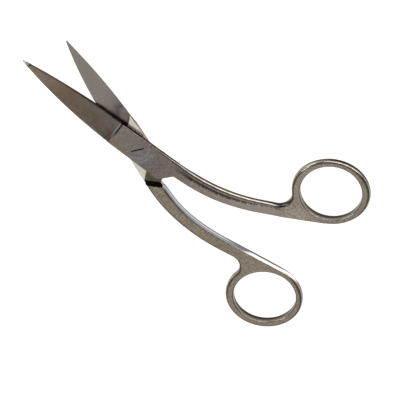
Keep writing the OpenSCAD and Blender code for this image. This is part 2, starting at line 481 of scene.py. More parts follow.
def two_sided(points, tris, z_hi, z_lo):
    """Closed shell between two heights over one plane mesh: its vertices, faces and their sides."""
    n = len(points)
    verts = np.concatenate([np.column_stack([points, z_hi]), np.column_stack([points, z_lo])])
    a, b, c = tris[:, 0], tris[:, 1], tris[:, 2]
    area = ((points[b, 0] - points[a, 0]) * (points[c, 1] - points[a, 1])
            - (points[c, 0] - points[a, 0]) * (points[b, 1] - points[a, 1]))
    tris = np.where((area < 0)[:, None], tris[:, ::-1], tris)
    faces = [tuple(t) for t in tris] + [(t[2] + n, t[1] + n, t[0] + n) for t in tris]
    side = [FLAT_SIDE] * len(tris) + [OUTER_SIDE] * len(tris)
    # a wall stands on every edge that only one triangle has; the dict keeps their order
    edges = {(t[i], t[(i + 1) % 3]): True for t in tris for i in range(3)}
    for i, j in edges:
        if (j, i) not in edges:
            faces.append((i, i + n, j + n, j))
            side.append(WALL)
    return verts, faces, np.array(side)


# ---------------- one half as a fine mesh
def shoulder_e(half, p):
    """Distance ahead of the shoulder wall."""
    return (p[:, 0] - SHOULDER_X[half.name]) * sin(SHOULDER_A) - p[:, 1] * cos(SHOULDER_A)


def shoulder_height(e):
    """Height of the flat side across the shoulder wall: foot fillet, wall, rounded top."""
    foot, lip, lean = 0.3, 0.15, 0.03
    z = np.full(len(e), HALF)
    z = np.where(e > -foot, HALF + foot - np.sqrt(np.clip(foot ** 2 - (e + foot) ** 2, 0, None)), z)
    up = np.clip(e / lean, 0, 1)
    z = np.where(e > 0, HALF + foot + (THICK - lip - HALF - foot) * up, z)
    fall = np.clip(lip + lean - e, 0, lip)
    return np.where(e > lean, THICK - lip + np.sqrt(np.clip(lip ** 2 - fall ** 2, 0, None)), z)


def half_heights(half, p, d, rt, rb, d_outer):
    """Heights of the flat and the outer side, and where the points lie along the half."""
    s, off = line_coords(p, half.bend)
    x, y = p[:, 0], p[:, 1]
    dd = -x
    grind = half.grind_x(y)
    edge_y, wide = half.blade_y(dd)
    rise = np.clip(y - edge_y, 0.0, None)
    # flat side: blade hollow, lap, shoulder recess, shoulder wall, shank
    e = shoulder_e(half, p)
    hi = shoulder_height(e)
    into = np.clip(half.inner_end_x(y) - x, 0.0, 1.0) / 0.6
    hollow = 0.07 * np.sqrt(np.clip(1 - (1 - np.clip(into, 0, 1)) ** 2, 0, 1))
    hollow = hollow * smooth(half.length, half.length - 9, dd) * smooth(0.0, 1.3, rise)
    hi = np.where(e < -0.46, hi - hollow, hi)
    past = smooth(0.0, 0.35, x - half.recess_x(y))
    hi = np.where(e < 0.0, hi - 0.1 * past * smooth(0.0, -0.05, e), hi)
    # outer side: lap, grinding run-out, blade taper, cutting bevel
    u = np.clip((grind - x) / GRIND_RUN, 0.0, 1.0)
    fade = 0.35 + 0.65 * smooth(half.width * 0.45, -half.width * 0.2, y)
    lo = STEP * fade * np.sqrt(np.clip(1 - (1 - u) ** 2, 0, 1))
    lo = np.where(x < grind, np.maximum(lo, 0) + (HALF - STEP - half.blade_t(dd)), lo)
    bev = bevel_width(half, dd)
    land = EDGE_T - 0.26 * tip_facet(half, dd)
    slope = (HALF - land - lo) / bev
    tip = HALF - land - slope * rise
    lo = np.where(x < grind, np.maximum(lo, np.where(rise < bev, tip, -1.0)), lo)
    # slight dish across the blade's outer face, as a wheel leaves it
    dish = 0.05 * np.sin(pi * np.clip(rise / wide, 0, 1)) * smooth(0.0, 4.0, grind - 1.5 - x)
    lo = np.where(x < grind - 1.5, lo + dish, lo)
    # crown of the shank, deepest at its outer edge
    near_half = half.name == "upper"
    full = 0.5 if near_half else 0.22
    deep = full * smooth(1.0, 24.0, s) - 0.6 * full * smooth(BEND_END - 2.0, BEND_END + 12.0, s)
    reach = 3.9 - 1.6 * smooth(BEND_END - 2.0, BEND_END + 10.0, s)
    crown = np.where(x > 0.5, deep * (1 - np.clip(d_outer / reach, 0, 1)) ** 3, 0.0)
    rt = np.where(e < 0.0, np.minimum(rt, 0.06), rt)
    # the shoulder's top falls away towards the outer edge
    fall = (1.0 - smooth(15.0, 25.0, s)) * np.clip(1.0 - d_outer / 2.2, 0.0, 1.0) ** 1.5
    hi = np.where(e > 0.0, hi - (0.85 if near_half else 0.3) * fall * smooth(0.0, 0.3, e), hi)
    hi = hi - quarter(d, rt) - np.where(e > 0.0, crown, 0.0)
    lo = lo + quarter(d, rb) + crown
    return np.maximum(hi, lo + 0.04), lo, s, off


def bevel_width(half, d):
    _, wide = half.blade_y(d)
    return np.minimum(BEVEL_W + 0.35 * tip_facet(half, d), wide * 0.6)


def tip_facet(half, d):
    """1 on the short facet that finishes the upper half's point."""
    return smooth(half.length - 2.9, half.length - 2.3, d) if half.name == "upper" else 0.0 * d


def build_half(name):
    half = Half(name)
    loop, rt, rb, outer_run = outline(half)
    r = np.maximum(rt, rb)
    w = np.linspace(0.0, 2.0 * pi, 190, endpoint=False)
    hole = line_point(BEND_END + HOLE_AT[name][0] + HOLE_R[name][0] * np.cos(w),
                      HOLE_AT[name][1] + HOLE_R[name][1] * np.sin(w), half.bend)
    bore = circle(SCREW_R + (BORE_CLEAR if name == "upper" else 0.0), 64)[::-1]
    closed = [loop, hole, bore]
    closed += contours(loop, r, np.minimum(0.14, 0.04 + r * 0.1))
    closed += contours(hole, np.full(len(hole), HOLE_ROUND), 0.1)
    if name == "upper":
        # the countersink
        closed += [circle(q, 64) for q in (SCREW_R + 0.06, HEAD_R - 0.02, HEAD_R + 0.045,
                                           HEAD_R + 0.06, HEAD_R + 0.25)]
    # lines where the height turns: grinding line, hollow, recess, shoulder, bevel
    y = np.linspace(-6.5, 6.5, 40)
    lines = [xy(half.grind_x(y) - q, y) for q in (0.0, 0.02, 0.08, 0.2, 0.42, GRIND_RUN)]
    lines += [xy(half.inner_end_x(y) - q, y) for q in (0.0, 0.06, 0.18, 0.36, 0.6)]
    lines += [xy(half.recess_x(y) + q, y)[y < 6.0] for q in (0.0, 0.12, 0.23, 0.35)]
    w = np.linspace(-9.0, 9.0, 40)
    for e in (-0.45, -0.3, -0.26, -0.2, -0.13, -0.07, -0.03, 0.0, 0.03, 0.045, 0.08, 0.13, 0.19, 0.3):
        x = SHOULDER_X[name] + e / sin(SHOULDER_A) + w * cos(SHOULDER_A)
        lines.append(xy(x, w * sin(SHOULDER_A)))
    d = np.concatenate([np.linspace(ROOT_X - 0.5, half.length - 3.0, 70),
                        np.linspace(half.length - 2.95, half.length - 0.5, 22)])
    for k in (0.5, 1.0, 1.25):
        lines.append(xy(-d, half.edge(np.maximum(d, ROOT_X)) + bevel_width(half, d) * k))

    def solid(q):
        return inside(q, loop) & ~inside(q, hole) & ~inside(q, bore)

    clear = 0.3  # between the rounded edges and the points that fill the rest
    fill = grid_fill(loop.min(0), loop.max(0), 0.45)
    fill = fill[solid(fill)]
    near, (room,) = nearest(fill, loop, [r])
    near_h, _ = nearest(fill, hole, [])
    fill = fill[(near > room + clear) & (near_h > HOLE_ROUND + clear)]
    points, tris = plane_mesh(closed, lines, fill)
    points, tris = keep_faces(points, tris, solid(points[tris].mean(1)))

    # each point takes its edge rounding from the nearest outline
    dist, (prt, prb) = nearest(points, loop, [rt, rb])
    dist_h, _ = nearest(points, hole, [])
    closer = dist_h < dist
    dist = np.where(closer, dist_h, dist)
    prt = np.where(closer, HOLE_ROUND, prt)
    prb = np.where(closer, HOLE_ROUND, prb)
    dist[dist < 1e-4] = 0.0
    d_outer, _ = nearest(points, outer_run, [], False)
    hi, lo, s, off = half_heights(half, points, dist, prt, prb, d_outer)
    if name == "upper":
        rho = np.hypot(points[:, 0], points[:, 1])
        lo = np.maximum(lo, np.clip(HEAD_R + BORE_CLEAR - rho, 0.0, HEAD_SEAT))
    verts, faces, side = two_sided(points, tris, hi, lo)

    # zones for the finishes, from where each face's middle lies
    mid = np.array([verts[list(f)].mean(0) for f in faces])
    e = shoulder_e(half, mid)
    x, y = mid[:, 0], mid[:, 1]
    ms, _ = line_coords(mid[:, :2], half.bend)
    flat, outer = side == FLAT_SIDE, side == OUTER_SIDE
    ground, hollow, recess = x < half.grind_x(y), x < half.inner_end_x(y), x >= half.recess_x(y)
    zone = np.full(len(faces), SHANK)
    zone[outer & ground] = BLADE_OUTER
    zone[outer & ~ground & (ms < 24.0)] = LAP_OUTER
    zone[flat & hollow] = BLADE_INNER
    zone[flat & ~hollow & ~recess & (e < -0.3)] = LAP_INNER
    zone[flat & recess & (e < -0.2)] = RECESS
    zone[flat & (e >= -0.2) & (e < 0.05) & (ms < 30)] = SHOULDER
    zone[side == WALL] = SIDE
    uv = np.tile(xy(s, off), (2, 1))
    if name == "upper":
        # turned over onto the lower half, then opened
        x, y, z = verts[:, 0], -verts[:, 1], THICK - verts[:, 2]
        c, sn = cos(REST_OPEN), sin(REST_OPEN)
        verts = np.column_stack([c * x - sn * y, sn * x + c * y, z])
    return make_object(name + "_half_steel", verts, faces, zone, uv)


def make_object(name, verts, faces, zone, uv):
    mesh = bpy.data.meshes.new(name)
    mesh.from_pydata([tuple(v) for v in verts * MM], [], [tuple(int(i) for i in f) for f in faces])
    mesh.validate()
    mesh.polygons.foreach_set("material_index", zone.astype(np.int32))
    mesh.polygons.foreach_set("use_smooth", np.ones(len(mesh.polygons), bool))
    mesh.set_sharp_from_angle(angle=SHARP_A)
    layer = mesh.uv_layers.new(name="along")
    index = np.empty(len(mesh.loops), np.int32)
    mesh.loops.foreach_get("vertex_index", index)
    layer.data.foreach_set("uv", uv[index].astype(np.float32).ravel())
    mesh.update()
    return add_object(name, mesh)


# ---------------- the screw
def build_screw():
    closed = [circle(HEAD_R - q, 96) for q in (0.0, 0.01, 0.03, 0.06, 0.1, 0.3)]
    closed += [circle(SCREW_R - q, 96) for q in (0.0, 0.02, 0.08, 0.2)]
    across = np.array([-sin(SLOT_A), cos(SLOT_A)])
    along = np.array([cos(SLOT_A), sin(SLOT_A)])
    w = np.linspace(-3.0, 3.0, 31)[:, None]
    slot_lines = (0.14, 0.2, 0.235, SLOT_HW, 0.27, 0.3, 0.36)
    lines = [w * along + sign * q * across for q in slot_lines for sign in (-1, 1)]
    fill = grid_fill((-HEAD_R, -HEAD_R), (HEAD_R, HEAD_R), 0.3)
    fill = fill[np.hypot(fill[:, 0], fill[:, 1]) < HEAD_R - 0.35]
    points, tris = plane_mesh(closed, lines, fill)
    points, tris = keep_faces(points, tris, inside(points[tris].mean(1), closed[0]))
    rho = np.hypot(points[:, 0], points[:, 1])
    q = np.abs(points @ across)
    hi = THICK - quarter(np.clip(HEAD_R - rho, 0, None), 0.06)
    # the slot's edges are worn down a little
    wear_and_shade_lift = 0.03
    hi = hi - wear_and_shade_lift * smooth(0.36, 0.27, q)
    slot = THICK - wear_and_shade_lift - (SLOT_DEPTH - wear_and_shade_lift) * smooth(SLOT_HW, 0.2, q)
    hi = np.where(q < SLOT_HW, slot, hi)
    lo = THICK - np.clip(HEAD_R - rho, 0.0, HEAD_SEAT) - 0.06
    end = quarter(np.clip(SCREW_R - 0.02 - rho, 0, None), 0.12)
    lo = np.where(rho < SCREW_R - 0.01, end, lo)
    verts, faces, _ = two_sided(points, tris, hi, np.minimum(lo, hi - 0.02))
    zone = np.zeros(len(faces), int)
    return make_object("pivot_screw_steel", verts, faces, zone, np.tile(points, (2, 1)))


# ---------------- finishes
TONE = 0.54  # fits the steels' base colours to the lamps used here
# near black, painted where shade and dark reflections fall: outer sides, recess, shoulder wall
PAINTED_DARK = (0.012, 0.009, 0.008)
# painted dark reflection beside the rounded outer edge of the near shank
PAINTED_DARK_BAND = (0.035, 0.025, 0.028)
FINE_BUMP = 0.00002
GRIND_SLOPE = 0.165  # how the grinding line leans across a blade


class Nodes:
    """Short way to write a node tree."""

    def __init__(self, name):
        self.mat = bpy.data.materials.new(name)
        self.mat.use_nodes = True
        self.tree = self.mat.node_tree
        self.bsdf = next(n for n in self.tree.nodes if n.type == "BSDF_PRINCIPLED")
        self.uv = self.new("ShaderNodeTexCoord").outputs["UV"]
        self.place = self.new("ShaderNodeTexCoord").outputs["Object"]

    def new(self, kind, **props):
        n = self.tree.nodes.new(kind)
        for k, v in props.items():
            setattr(n, k, v)
        return n

    def put(self, socket, value):
        if isinstance(value, bpy.types.NodeSocket):
            self.tree.links.new(value, socket)
        else:
            socket.default_value = value

    def math(self, op, a, b=0.0):
        n = self.new("ShaderNodeMath", operation=op)
        self.put(n.inputs[0], a)
        self.put(n.inputs[1], b)
        return n.outputs[0]

    def times(self, value, *factors):
        for factor in factors:
            value = self.math("MULTIPLY", value, factor)
        return value

    def plus(self, a, b):
        return self.math("ADD", a, b)

    def split(self, vector):
        n = self.new("ShaderNodeSeparateXYZ")
        self.put(n.inputs[0], vector)
        return n.outputs

    def distance(self, vector, point):
        n = self.new("ShaderNodeVectorMath", operation="DISTANCE")
        self.put(n.inputs[0], vector)
        n.inputs[1].default_value = point
        return n.outputs["Value"]

    def scaled(self, vector, scale):
        n = self.new("ShaderNodeMapping")
        self.put(n.inputs["Vector"], vector)
        n.inputs["Scale"].default_value = scale
        return n.outputs[0]

    def noise(self, vector, scale, detail, rough, distort=0.0):
        n = self.new("ShaderNodeTexNoise")
        self.put(n.inputs["Vector"], vector)
        n.inputs["Scale"].default_value = scale
        n.inputs["Detail"].default_value = detail
        n.inputs["Roughness"].default_value = rough
        n.inputs["Distortion"].default_value = distort
        return n.outputs["Fac"]

    def streaks(self, along, across, detail, rough, distort=0.0):
        """Noise with its own scale along and across the half; the UV map holds both ways in mm."""
        return self.noise(self.scaled(self.uv, (along, across, 1)), 1.0, detail, rough, distort)

    def ramp(self, fac, stops):
        n = self.new("ShaderNodeValToRGB")
        self.put(n.inputs[0], fac)
        elements = n.color_ramp.elements
        while len(elements) < len(stops):
            elements.new(0.5)
        for e, (at, colour) in zip(elements, stops):
            e.position = at
            e.color = (*colour, 1.0)
        return n.outputs[0]

    def mix(self, fac, a, b, mode="MIX"):
        n = self.new("ShaderNodeMix", data_type="RGBA", blend_type=mode)
        self.put(n.inputs[0], fac)
        self.put(n.inputs[6], a if isinstance(a, bpy.types.NodeSocket) else (*a, 1.0))
        self.put(n.inputs[7], b if isinstance(b, bpy.types.NodeSocket) else (*b, 1.0))
        return n.outputs[2]

    def stain(self, colour, mask, a, b, amount, tint):
        """Mixes in some of a tint where the mask passes from a to b."""
        return self.mix(self.range(mask, a, b, 0.0, amount), colour, tint)

    def range(self, value, a, b, c=0.0, d=1.0, kind="LINEAR"):
        """c where the value is a, d where it is b."""
        n = self.new("ShaderNodeMapRange", interpolation_type=kind)
        self.put(n.inputs["Value"], value)
        for key, v in zip(("From Min", "From Max", "To Min", "To Max"), (a, b, c, d)):
            n.inputs[key].default_value = v
        return n.outputs["Result"]

    def ease(self, value, a, b, c=0.0, d=1.0):
        return self.range(value, a, b, c, d, "SMOOTHSTEP")

    def along(self):
        """Distance along the half from the pivot, and off the line where the closed shanks meet."""
        s, off, _ = self.split(self.uv)
        return s, off

    def bump(self, height, strength, distance=FINE_BUMP):
        n = self.new("ShaderNodeBump")
        self.put(n.inputs["Height"], height)
        n.inputs["Strength"].default_value = strength
        n.inputs["Distance"].default_value = distance
        return n.outputs[0]

    def finish(self, colour, rough, normal, metallic=1.0, tone=TONE):
        if tone < 1.0:
            colour = self.mix(1.0, colour, (tone, tone, tone), "MULTIPLY")
        self.put(self.bsdf.inputs["Base Color"], colour)
        self.put(self.bsdf.inputs["Roughness"], rough)
        self.put(self.bsdf.inputs["Normal"], normal)
        self.bsdf.inputs["Metallic"].default_value = metallic
        return self.mat


def upright(n, full, none):
    """1 where the surface stands upright, 0 where it lies flat."""
    normal = n.split(n.new("ShaderNodeNewGeometry").outputs["Normal"])
    return n.ease(n.math("ABSOLUTE", normal[2]), full, none, 1.0, 0.0)


def ring_radius(n):
    """Distance from the finger ring's centre, in mm."""
    return n.distance(n.uv, (BEND_END + 25.3, 15.9, 0.0))


def shank_steel(name):
    near_half = name == "upper"
    n = Nodes(name + "_shank_steel")
    s, off = n.along()
    patch = n.streaks(0.3, 0.55, 5, 0.65, 0.5)
    warm = n.streaks(0.12, 0.25, 2, 0.5)
    fine = n.streaks(4.2, 0.35, 3, 0.65)
    pits = n.noise(n.place, 2600.0, 3, 0.7)
    low, mid, high = ((0.34, 0.28, 0.24), (0.46, 0.4, 0.35), (0.56, 0.5, 0.43))
    if not near_half:
        low, mid, high = ((0.29, 0.235, 0.165), (0.45, 0.375, 0.28), (0.6, 0.53, 0.43))
    colour = n.ramp(patch, [(0.34, low), (0.5, mid), (0.64, high)])
    tint = (0.46, 0.36, 0.33) if near_half else (0.5, 0.38, 0.23)
    colour = n.stain(colour, warm, 0.4, 0.62, 0.55, tint)
    cross = n.streaks(1.6, 0.5, 4, 0.7, 0.3)
    colour = n.stain(colour, cross, 0.52, 0.66, 0.4, (0.26, 0.22, 0.18))
    colour = n.stain(colour, fine, 0.35, 0.7, 0.5, (0.66, 0.6, 0.53))
    colour = n.stain(colour, pits, 0.5, 0.64, 0.6, (0.15, 0.12, 0.09))
    glint = n.noise(n.place, 1700.0, 3, 0.75)
    colour = n.stain(colour, glint, 0.52, 0.64, 0.55, (0.95, 0.88, 0.76))
    if near_half:
        pale = n.times(n.ease(s, 26.0, 48.0, 0.0, 0.4), n.ease(s, 76.0, 68.0))
        colour = n.mix(pale, colour, (0.8, 0.74, 0.65))
    web = n.ease(s, 57.0, 64.0)
    speck = n.noise(n.place, 2300.0, 3, 0.75)
    sand = n.ramp(speck, [(0.38, (0.26, 0.205, 0.15)), (0.5, (0.54, 0.455, 0.36)),
                          (0.62, (0.98, 0.9, 0.75))])
    face = n.range(ring_radius(n), 13.4, 16.5, 0.45, 0.85 if near_half else 0.6)
    colour = n.mix(n.times(web, face), colour, sand)
    if near_half:
        # coarse bright grains where the web was left as cast
        grains = n.range(n.noise(n.place, 1250.0, 3, 0.8), 0.48, 0.57, 0.0, 0.85)
        where = n.times(n.ease(s, 60.0, 65.0), n.ease(s, 76.0, 68.0), n.ease(off, 7.5, 3.0))
        colour = n.mix(n.times(grains, where), colour, (0.95, 0.9, 0.76))
    # painted shade: a thin dark line along the inner edge
    line = n.times(n.range(off, 0.62, 0.4, 0.0, 0.55), n.range(s, 62.0, 56.0))
    colour = n.mix(line, colour, (0.12, 0.11, 0.1))
    if near_half:
        # painted dark reflection: a dark band beside the rounded outer edge, with a ragged lower side
        streak = n.streaks(2.6, 0.12, 3, 0.75)
        ragged = n.plus(off, n.range(streak, 0.32, 0.68, -0.75, 0.75))
        ragged = n.math("SUBTRACT", ragged, n.ease(s, 38.0, 58.0, 0.0, 0.85))
        painted_band = n.times(n.ease(ragged, 3.0, 3.8), n.ease(s, 66.0, 60.0), n.ease(s, 11.0, 24.0),
                       n.range(off, 4.75, 4.35))
        colour = n.mix(n.times(painted_band, 0.9), colour, PAINTED_DARK_BAND)
    # painted shade darkens the corner where the shank turns into the ring
    corner = n.times(n.ease(s, 57.5, 60.5), n.ease(s, 68.5, 66.5), n.ease(off, 4.0, 5.0),
                     n.ease(off, 12.0, 8.0, 0.0, 0.8 if near_half else 0.35))
    colour = n.mix(n.times(corner, upright(n, 0.8, 0.96)), colour, (0.04, 0.033, 0.03))
    # painted dark reflection along the upright outer edges
    colour = n.mix(painted_dark_rim(n, s, off, near_half), colour, PAINTED_DARK)
    rough = n.range(patch, 0.3, 0.7, 0.17, 0.25)
    return n.finish(colour, rough, n.bump(fine, 0.05))


def painted_dark_rim(n, s, off, near_half):
    """Painted dark reflection on the sides, where the outer edges turn down, lifted at the web."""
    wear_and_shade_lift = n.times(n.ease(s, 61.0, 66.0, 0.0, 0.7), n.ease(s, 78.0, 70.0))
    keep = n.times(n.range(off, 2.5, 3.5, 0.0, 0.96 if near_half else 0.3),
                   n.math("SUBTRACT", 1.0, wear_and_shade_lift), n.range(ring_radius(n), 13.2, 13.5))
    return n.times(upright(n, 0.22, 0.4), keep)


def blade_outer_steel(name):
    n = Nodes(name + "_blade_outer_steel")
    s, off = n.along()
    g = n.plus(s, n.times(off, GRIND_SLOPE))
    fine = n.streaks(5.0, 0.3, 3, 0.65)
    cloud = n.streaks(0.16, 0.3, 4, 0.6, 0.7)
    grain = n.noise(n.place, 1900.0, 3, 0.7)
    wander = n.plus(g, n.range(cloud, 0.3, 0.7, -4.0, 4.0))
    colour = n.ramp(n.range(wander, -56.0, -11.0), [
        (0.0, (0.5, 0.43, 0.33)), (0.25, (0.45, 0.355, 0.26)), (0.45, (0.3, 0.205, 0.145)),
        (0.62, (0.25, 0.18, 0.125)), (0.74, (0.19, 0.15, 0.11)), (0.9, (0.2, 0.165, 0.145)),
        (1.0, (0.16, 0.135, 0.125))])
    cool = n.times(n.ease(g, -34.0, -16.0, 0.0, 0.55), n.ease(off, -0.5, 3.6))
    colour = n.mix(cool, colour, (0.3, 0.29, 0.29))
    spine = n.times(n.ease(g, -42.0, -24.0, 0.0, 0.5), n.ease(off, -2.4, -4.6))
    colour = n.mix(spine, colour, (0.34, 0.29, 0.25))
    # painted shade: the outer face darkens towards the grinding line
    dark = n.times(n.ease(g, -18.5, -12.2), n.range(off, 4.5, -3.0, 0.25, 1.0))
    colour = n.mix(n.times(dark, 0.8), colour, (0.07, 0.05, 0.055))
    colour = n.stain(colour, cloud, 0.42, 0.62, 0.35, (0.52, 0.42, 0.32))
    mottle = n.streaks(0.55, 0.8, 3, 0.7, 0.4)
    colour = n.stain(colour, mottle, 0.48, 0.64, 0.35, (0.2, 0.13, 0.1))
    colour = n.stain(colour, fine, 0.35, 0.7, 0.32, (0.54, 0.47, 0.4))
    colour = n.stain(colour, grain, 0.52, 0.7, 0.4, (0.12, 0.09, 0.07))
    light = n.times(n.range(g, -11.85, -11.5), n.range(off, -3.4, 0.5, 0.0, 0.6))
    colour = n.mix(light, colour, (0.7, 0.71, 0.73))
    z = n.split(n.place)[2]
    # painted dark reflection on the steep cutting bevel
    bevel = n.times(upright(n, 0.45, 0.75), n.range(off, -2.0, -0.5, 0.0, 0.9),
                    n.ease(z, 0.0024, 0.0027, 1.0, 0.0))
    point = n.ease(g, -53.2, -53.6)
    colour = n.mix(n.times(bevel, n.math("SUBTRACT", 1.0, point)), colour, (0.085, 0.07, 0.06))
    facet = n.times(upright(n, 0.9, 0.99), n.range(off, 0.0, 0.5))
    colour = n.mix(n.times(facet, point), colour, (0.46, 0.44, 0.4))
    spot = n.times(n.range(g, -53.6, -53.2), n.range(g, -52.3, -52.7))
    colour = n.mix(n.times(spot, n.range(off, 0.2, 0.9, 0.2, 0.9)), colour, (0.05, 0.04, 0.035))
    rough = n.range(cloud, 0.3, 0.7, 0.24, 0.34)
    return n.finish(colour, rough, n.bump(fine, 0.3))


def lap_outer_steel(name):
    n = Nodes(name + "_lap_outer_steel")
    s, off = n.along()
    g = n.plus(s, n.times(off, GRIND_SLOPE))
    fine = n.streaks(4.2, 0.5, 4, 0.7, 0.3)
    cloud = n.streaks(0.3, 0.3, 4, 0.6, 0.9)
    grain = n.noise(n.place, 1900.0, 3, 0.7)
    # temper colours in arcs round the screw
    r = n.plus(n.distance(n.uv, (-1.5, 0.5, 0.0)), n.range(cloud, 0.3, 0.7, -0.7, 0.7))
    arcs = n.ramp(n.range(r, 0.0, 26.0), [
        (0.0, (0.44, 0.41, 0.38)), (0.12, (0.38, 0.37, 0.37)), (0.17, (0.3, 0.3, 0.31)),
        (0.2, (0.45, 0.45, 0.45)), (0.24, (0.31, 0.31, 0.33)), (0.275, (0.48, 0.48, 0.47)),
        (0.31, (0.29, 0.29, 0.34)), (0.36, (0.26, 0.23, 0.27)), (0.42, (0.33, 0.25, 0.25)),
        (0.48, (0.26, 0.2, 0.2)), (0.56, (0.35, 0.27, 0.26)), (0.66, (0.34, 0.27, 0.26)),
        (0.8, (0.41, 0.34, 0.31)), (1.0, (0.44, 0.38, 0.33))])
    left = n.ramp(n.range(s, -12.0, 0.0), [
        (0.0, (0.43, 0.37, 0.31)), (0.4, (0.4, 0.34, 0.31)), (0.8, (0.37, 0.34, 0.34)),
        (1.0, (0.41, 0.39, 0.37))])
    colour = n.mix(n.ease(s, -2.5, 1.5), left, arcs)
    brown = n.times(n.ease(off, -1.2, -4.0), n.range(s, 2.0, -4.0, 0.0, 0.85))
    colour = n.mix(brown, colour, (0.43, 0.31, 0.18))
    rose = n.times(n.ease(off, 1.2, 3.4, 0.0, 0.7), n.ease(s, -6.0, 0.0))
    colour = n.mix(n.times(rose, n.ease(s, 16.0, 9.0)), colour, (0.34, 0.25, 0.21))
    colour = n.stain(colour, cloud, 0.5, 0.66, 0.5, (0.38, 0.28, 0.21))
    colour = n.stain(colour, fine, 0.42, 0.66, 0.5, (0.72, 0.69, 0.68))
    colour = n.stain(colour, grain, 0.5, 0.66, 0.5, (0.14, 0.11, 0.1))
    line = n.times(n.range(g, -10.3, -10.5), n.range(off, -2.6, 0.6, 0.0, 0.95))
    colour = n.mix(line, colour, (0.025, 0.02, 0.02))
    near_half = name == "upper"
    if near_half:
        # painted dark reflection beside the rounded outer edge
        painted_band = n.times(n.ease(off, 2.6, 3.6, 0.0, 0.9), n.ease(s, 11.0, 24.0), n.range(off, 4.75, 4.35))
        colour = n.mix(painted_band, colour, PAINTED_DARK_BAND)
    # painted dark reflection along the upright outer edges
    colour = n.mix(painted_dark_rim(n, s, off, near_half), colour, PAINTED_DARK)
    rough = n.range(cloud, 0.3, 0.7, 0.2, 0.3)
    return n.finish(colour, rough, n.bump(fine, 0.12))


def blade_inner_steel(name):
    n = Nodes(name + "_blade_inner_steel")
    s, off = n.along()
    fine = n.streaks(5.0, 0.35, 3, 0.6)
    cloud = n.streaks(0.12, 0.3, 3, 0.5, 0.4)
    grain = n.noise(n.place, 1900.0, 3, 0.7)
    axis = n.plus(s, n.times(off, -0.9))
    axis = n.plus(axis, n.range(cloud, 0.3, 0.7, -1.5, 1.5))
    colour = n.ramp(n.range(axis, -54.0, -9.0), [
        (0.0, (0.48, 0.42, 0.38)), (0.35, (0.45, 0.4, 0.36)), (0.6, (0.46, 0.41, 0.39)),
        (0.76, (0.39, 0.34, 0.33)), (0.84, (0.2, 0.165, 0.165)), (0.93, (0.33, 0.28, 0.27)),
        (0.97, (0.18, 0.15, 0.12)), (1.0, (0.12, 0.105, 0.08))])
    colour = n.stain(colour, cloud, 0.4, 0.65, 0.3, (0.52, 0.47, 0.46))
    colour = n.stain(colour, fine, 0.35, 0.7, 0.3, (0.6, 0.56, 0.53))
    colour = n.stain(colour, grain, 0.52, 0.7, 0.4, (0.2, 0.17, 0.15))
    end = n.ramp(n.range(axis, -24.0, -9.0), [
        (0.0, (1.12, 1.12, 1.1)), (0.3, (1.0, 1.0, 1.0)), (0.5, (0.75, 0.72, 0.75)),
        (0.66, (1.15, 1.12, 1.1)), (0.82, (1.0, 0.95, 0.92)), (1.0, (0.5, 0.48, 0.42))])
    colour = n.mix(1.0, colour, end, "MULTIPLY")
    rough = n.range(cloud, 0.3, 0.7, 0.26, 0.34)
    return n.finish(colour, rough, n.bump(fine, 0.25))


def lap_inner_steel(name):
    n = Nodes(name + "_lap_inner_steel")
    fine = n.streaks(0.8, 7.0, 3, 0.6)
    cloud = n.noise(n.place, 500.0, 3, 0.55)
    colour = n.ramp(cloud, [(0.3, (0.98, 0.87, 0.7)), (0.55, (1.0, 0.94, 0.84)),
                            (0.75, (1.0, 0.97, 0.91))])
    colour = n.stain(colour, fine, 0.4, 0.7, 0.25, (0.8, 0.7, 0.54))
    rough = n.range(fine, 0.3, 0.7, 0.28, 0.4)
    return n.finish(colour, rough, n.bump(fine, 0.2), 0.9, 0.86)


def recess_steel(name):
    n = Nodes(name + "_recess_steel")
    grain = n.noise(n.place, 1500.0, 4, 0.7)
    s, off = n.along()
    colour = n.ramp(grain, [(0.35, (0.16, 0.14, 0.1)), (0.55, (0.32, 0.28, 0.21)),
                            (0.75, (0.48, 0.43, 0.35))])
    # painted shadow: the recess darkens towards the shoulder wall
    toward = n.plus(n.times(s, sin(SHOULDER_A)), n.times(off, cos(SHOULDER_A)))
    foot = SHOULDER_X[name] * sin(SHOULDER_A)
    colour = n.mix(n.ease(toward, foot - 1.7, foot - 0.9, 0.0, 0.93), colour, PAINTED_DARK)
    rough = n.range(grain, 0.3, 0.7, 0.38, 0.5)
    return n.finish(colour, rough, n.bump(grain, 0.3, 0.00003))


def shoulder_steel(name):
    n = Nodes(name + "_shoulder_steel")
    grain = n.noise(n.place, 1200.0, 4, 0.7)
    # painted shade: the shoulder wall is coloured near black
    colour = n.ramp(grain, [(0.35, PAINTED_DARK), (0.7, (0.035, 0.026, 0.024))])
    rough = n.range(grain, 0.3, 0.7, 0.45, 0.6)
    return n.finish(colour, rough, n.bump(grain, 0.3, 0.00003), tone=1.0)


